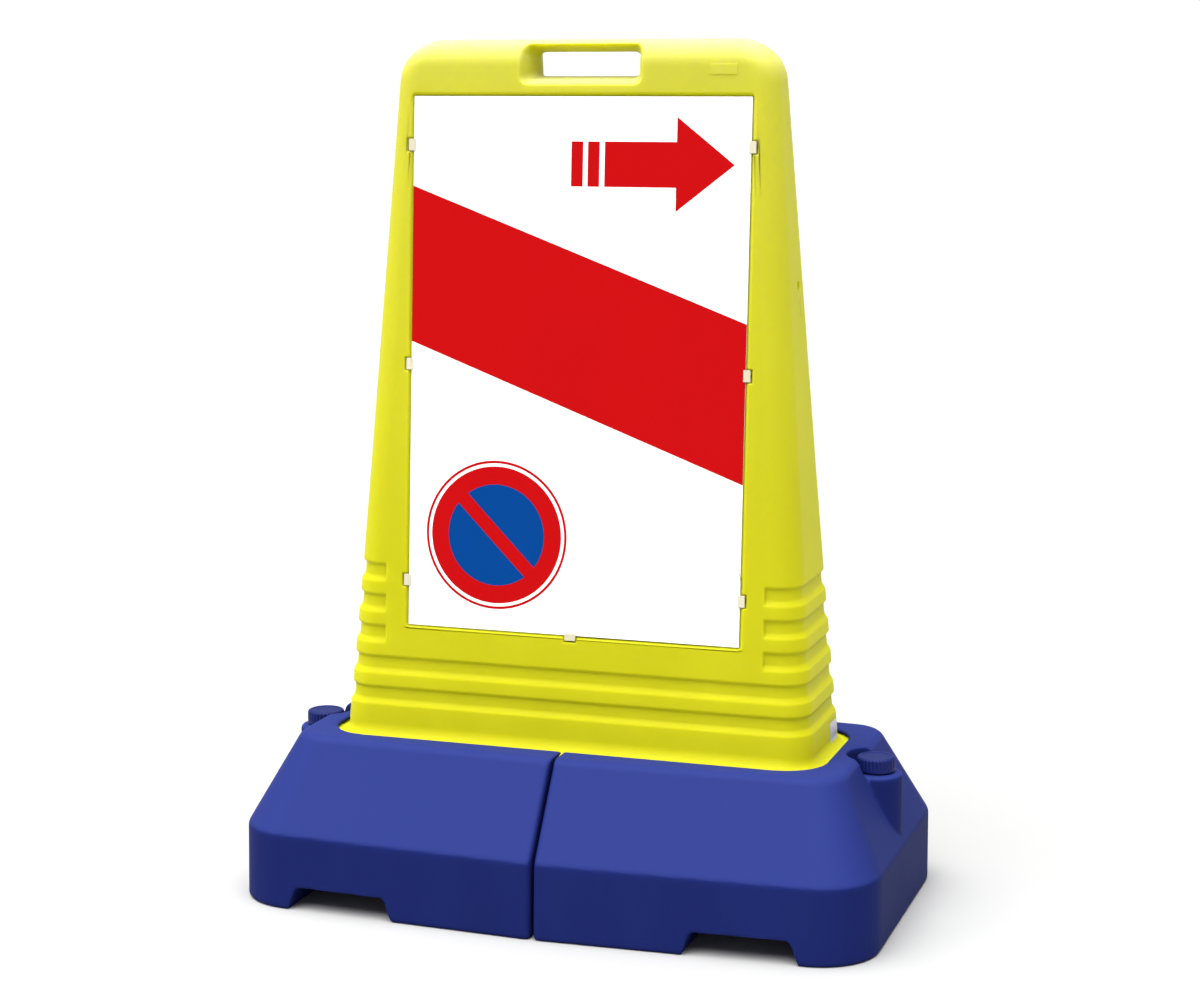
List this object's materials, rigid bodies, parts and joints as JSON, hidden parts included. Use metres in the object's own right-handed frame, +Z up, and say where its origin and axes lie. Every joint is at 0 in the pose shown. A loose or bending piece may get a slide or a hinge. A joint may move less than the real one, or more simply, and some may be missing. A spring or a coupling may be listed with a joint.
{
  "type": "freestanding sign",
  "caption": "Moulded sign tower with a lift-in panel and hand hole, standing in paired water-filled base tanks with screw filler caps.",
  "frame": {"origin": "on the floor, midway between the two tanks and midway between the front and the back", "axes": "+Z up, +X to the right of someone facing the sign panel, the sign panel faces -Y"},
  "size_m": [0.8532, 0.4834, 1.117],
  "materials": {
    "tower_yellow": "satin moulded polyethylene, yellow",
    "panel_white": "white board with a printed sign face",
    "clip_clear": "milky, slightly yellowed plastic",
    "tank_blue": "satin moulded polyethylene, blue",
    "cap_blue": "ridged dark blue plastic",
    "seal_grey": "soft grey foam rubber"
  },
  "bodies": {
    "tower": {"tower_body": "tower_yellow", "sign_panel": "panel_white", "panel_clips": "clip_clear"},
    "left_base": {"left_tank": "tank_blue"},
    "right_base": {"right_tank": "tank_blue"},
    "left_seal": {"left_cap_seal": "seal_grey"},
    "right_seal": {"right_cap_seal": "seal_grey"},
    "left_screw_cap": {"left_cap": "cap_blue"},
    "right_screw_cap": {"right_cap": "cap_blue"}
  },
  "joints": [
    {"name": "left_base_slide", "type": "slide", "parent": "tower", "child": "left_base", "axis": [-1, 0, 0], "range_m": [0, 0.352]},
    {"name": "right_base_slide", "type": "slide", "parent": "tower", "child": "right_base", "axis": [1, 0, 0], "range_m": [0, 0.352]},
    {"name": "left_cap_lift", "type": "slide", "parent": "left_base", "child": "left_seal", "axis": [0, 0, 1], "range_m": [0, 0.015]},
    {"name": "right_cap_lift", "type": "slide", "parent": "right_base", "child": "right_seal", "axis": [0, 0, 1], "range_m": [0, 0.015]},
    {"name": "left_cap_turn", "type": "hinge", "parent": "left_seal", "child": "left_screw_cap", "pos_m": [-0.386, 0, 0.2], "axis": [0, 0, 1], "range_deg": [0, 1080]},
    {"name": "right_cap_turn", "type": "hinge", "parent": "right_seal", "child": "right_screw_cap", "pos_m": [0.386, 0, 0.2], "axis": [0, 0, 1], "range_deg": [0, 1080]}
  ],
  "couplings": [
    {"joint": "left_cap_lift", "follows": "left_cap_turn", "m_per_rad": 0.00079577},
    {"joint": "right_cap_lift", "follows": "right_cap_turn", "m_per_rad": 0.00079577}
  ]
}
